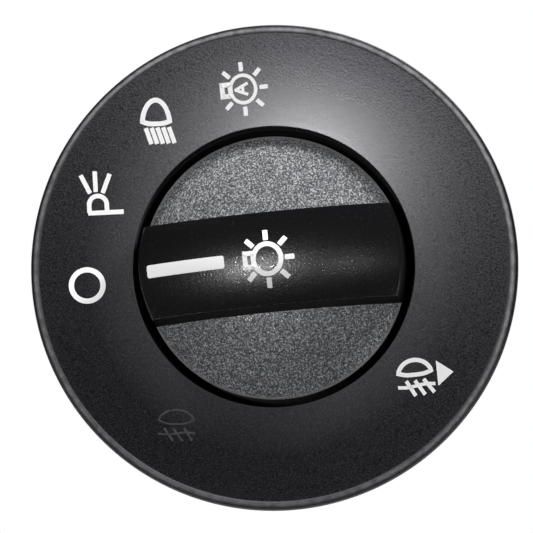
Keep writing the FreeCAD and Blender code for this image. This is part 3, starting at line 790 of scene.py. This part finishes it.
def auto_mark():
    lamp = lamp_strokes(-4.54, 26.75, math.radians(6), radius=2.15, stroke=0.52, tall=1.08,
                        ray_start=2.47, ray_end=3.74, ray_width=0.64, socket_reach=3.5,
                        socket_length=1.93, socket_height=2.45, socket_wall=0.72)
    pen = 0.45
    letter = [
        strip(-5.79, 26.5, -3.87, 27.65, pen, corner=0.05),
        strip(-5.79, 26.6, -3.79, 25.93, pen, corner=0.05),
        strip(-4.6, 27.1, -4.55, 26.2, pen, corner=0.05),
    ]
    return lamp + letter


def rear_fog_mark():
    beams = [(-1.4, -1.0, -0.2, -3.35), (-0.1, -1.05, 1.2, -3.3), (1.2, -0.95, 2.6, -3.1)]
    lamp = fog_strokes(21.05, -16.2, math.radians(6), half=2.8, rise=2.35, bow=0.5, stroke=0.64,
                       beams=beams, beam_width=0.57, mist_width=0.51, drop=1.85)
    return lamp + [arrow(((24.15, -14.28), (24.53, -18.08), (26.78, -15.98)))]


def front_fog_mark():
    beams = [(-1.8, -1.1, -0.45, -3.05), (-0.45, -1.15, 0.95, -3.05), (1.15, -1.1, 2.4, -3.05)]
    return fog_strokes(-14.48, -23.05, 0.0, half=2.75, rise=1.75, bow=0.65, stroke=0.26,
                       beams=beams, beam_width=0.32, mist_width=0.28, drop=1.93)


def knob_mark():
    return lamp_strokes(-0.05, -0.2, BAR_TILT, radius=2.39, stroke=0.72, tall=1.07,
                        ray_start=2.56, ray_end=3.99, ray_width=0.75, socket_reach=3.59,
                        socket_length=1.9, socket_height=2.7, socket_wall=0.7)


# Cuts a flat stroke across at even steps, so that it can follow a curved skin
def cross_cut(piece, step):
    low = [min(v.co[k] for v in piece.data.vertices) for k in (X, Y)]
    high = [max(v.co[k] for v in piece.data.vertices) for k in (X, Y)]
    with editing(piece):
        for axis in (X, Y):
            count = int((high[axis] - low[axis]) / (step * MM))
            for i in range(1, count + 1):
                at = [0, 0, 0]
                normal = [0, 0, 0]
                at[axis] = low[axis] + (high[axis] - low[axis]) * i / (count + 1)
                normal[axis] = 1
                bpy.ops.mesh.select_all(action="SELECT")
                bpy.ops.mesh.bisect(plane_co=at, plane_no=normal)


# Stands the flat strokes up in front of a skin, lays each on it and joins them into one mark;
# the heights differ a little, so that no two strokes that cross share a face
def lay_mark(name, strokes, skin, body, material, proud=0.035, step=0.5):
    ahead = 0.3
    sunk = 0.08
    layer = 0.002
    front = min(vertex.co.y for vertex in skin.data.vertices) - ahead * MM
    for i, stroke in enumerate(strokes):
        if all(face.normal.z < 0 for face in stroke.data.polygons):
            stroke.data.flip_normals()
        cross_cut(stroke, step)
        stroke.location.y = front
        stroke.rotation_euler.x = math.pi / 2
        apply_place(stroke)
        finish_modifier(stroke, "SHRINKWRAP", target=skin, wrap_method="PROJECT",
                        use_project_y=True, use_positive_direction=True, use_negative_direction=False)
        height = proud + layer * (i % 3)
        finish_modifier(stroke, "SOLIDIFY", thickness=(height + sunk) * MM,
                        offset=(height - sunk) / (height + sunk))
    mark = join(strokes, name)
    mark.data.materials.clear()
    mark.data.materials.append(material)
    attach(mark, body)


set_camera()

DIAL = dial_satin()
FACE = face_grey()
GRIP = grip_black()
STEEL = drawn_metal("spring_steel", grey(0.5, 0.5, 0.51), grey(0.62, 0.62, 0.63), rough=0.25)
WHITE = mark_white()

bezel = dial_ring()
smooth_skin("knob_dome", "knob", FACE)
grip = smooth_skin("knob_grip", "knob", GRIP)
matt_sides(grip, moulded("grip_sides", grey(0.003), grey(0.004), rough=0.65, dusty=0.01, gloss=0.15))
pressed_spring("latch_spring_left", "housing", X, HIGH, share=0.58)
pressed_spring("latch_spring_right", "housing", X, LOW, share=0.58)
pressed_spring("detent_spring_lower", "rotor", Z, HIGH, share=0.69)
pressed_spring("detent_spring_upper", "rotor", Z, LOW, share=0.69)
pressed_spring("push_return_spring", "rotor", Y, HIGH, share=0.65)
smooth_skin("knob_light_guide", "knob", mark_white("pointer_white", level=0.96))

lay_mark("mark_off", off_mark(), bezel, "housing", WHITE)
lay_mark("mark_parking", parking_mark(), bezel, "housing", WHITE)
lay_mark("mark_low_beam", low_beam_mark(), bezel, "housing", WHITE)
lay_mark("mark_auto_lamp", auto_mark(), bezel, "housing", WHITE)
lay_mark("mark_rear_fog", rear_fog_mark(), bezel, "housing", WHITE)
lay_mark("mark_front_fog", front_fog_mark(), bezel, "housing", mark_unlit(), proud=0.01)
lay_mark("mark_knob_lamp", knob_mark(), grip, "knob", WHITE, proud=0.008, step=0.25)

FINISHES = {
    "housing_black": housing_plastic(),
    "cover_grey": moulded("cover_grey", grey(0.09, 0.092, 0.095), grey(0.12, 0.122, 0.125), rough=0.5),
    "natural_plastic": moulded("natural_plastic", grey(0.62, 0.6, 0.53), grey(0.7, 0.68, 0.61),
                               rough=0.42, depth=0.01, dusty=0.03),
    "insulator": moulded("insulator", grey(0.16, 0.1, 0.06), grey(0.2, 0.13, 0.08), rough=0.45),
    "white_diffuser": mark_white("diffuser_white", level=0.8),
    "clear_pipe": clear_acrylic(),
    "contact_brass": drawn_metal("contact_brass", grey(0.72, 0.5, 0.2), grey(0.8, 0.6, 0.3), rough=0.22),
    "spring_steel": STEEL,
    "board_green": moulded("board_green", grey(0.01, 0.07, 0.03), grey(0.015, 0.1, 0.045),
                           rough=0.28, grain_size=1500.0, depth=0.006, dusty=0.02),
    "lamp_white": mark_white("lamp_white", level=0.85),
    "chip_black": moulded("chip_black", grey(0.012), grey(0.018), rough=0.6, dusty=0.02),
    "bezel_black": DIAL,
    "knob_grey": FACE,
    "knob_black": GRIP,
}
for node in frame["nodes"].values():
    for slot in node.material_slots:
        name = slot.material.name.split(".")[0]
        slot.material = FINISHES[name]


# Plain pale floor under the object, which runs into the white backdrop away from it
def set_floor():
    near_edge = 0.02
    size = 3.0
    drop = 0.22
    clear()
    bpy.ops.mesh.primitive_plane_add(size=size, location=(0, near_edge + size / 2, -drop))
    floor = apply_place(bpy.context.object)
    floor.name = "floor"
    material, tree, finish = new_material("floor_white", Roughness=0.8, Emission_Strength=1.0)
    cloud = noise(tree, on_piece(tree), 3.0, 2.0).outputs["Fac"]
    seen = add(tree, "ShaderNodeLightPath").outputs["Is Camera Ray"]
    far = math_node(tree, "MULTIPLY", spread(tree, from_axis(tree), 300, 700, 0.0, 1.0), seen)
    finish(Base_Color=blend_colour(tree, cloud, grey(0.84), grey(0.88)),
           Emission_Color=blend_colour(tree, far, grey(0.0), grey(1.0)))
    floor.data.materials.append(material)


# White backdrop for what the camera, metal and glass see; the front of the room is dim
def set_world():
    front_level = 0.02
    fill_level = 0.05
    world = bpy.data.worlds.new("studio")
    bpy.context.scene.world = world
    world.use_nodes = True
    tree = world.node_tree
    path = add(tree, "ShaderNodeLightPath").outputs
    seen = math_node(tree, "MAXIMUM", path["Is Camera Ray"], path["Is Transmission Ray"])
    seen = math_node(tree, "MAXIMUM", seen, path["Is Glossy Ray"])
    direction = add(tree, "ShaderNodeSeparateXYZ",
                    {"Vector": add(tree, "ShaderNodeTexCoord").outputs["Generated"]})
    room = spread(tree, direction.outputs["Y"], 0.5, 0.95, front_level, 1.0)
    dim = math_node(tree, "MULTIPLY", path["Is Glossy Ray"], math_node(tree, "SUBTRACT", 1.0, room))
    level = math_node(tree, "SUBTRACT", seen, dim)
    fill = math_node(tree, "MULTIPLY", math_node(tree, "SUBTRACT", 1.0, seen), fill_level)
    background = tree.nodes["Background"].inputs
    feed(tree, background["Strength"], math_node(tree, "ADD", level, fill))
    feed(tree, background["Color"], (1, 1, 1, 1))


set_floor()
set_world()
studio_lamp("front_lamp", -8, -6.2, size=0.1, level=0.42)
studio_lamp("right_lamp", 29.5, -6.5, size=0.12, level=0.05)
studio_lamp("upper_right_fill", 75, 48, size=0.3, level=1.8, highlight=False)
studio_lamp("upper_left_fill", -60, 60, size=0.3, level=0.9, highlight=False)
studio_lamp("rear_lamp", 160, 45, size=0.5, level=0.4)

bpy.context.scene.view_settings.view_transform = "Standard"
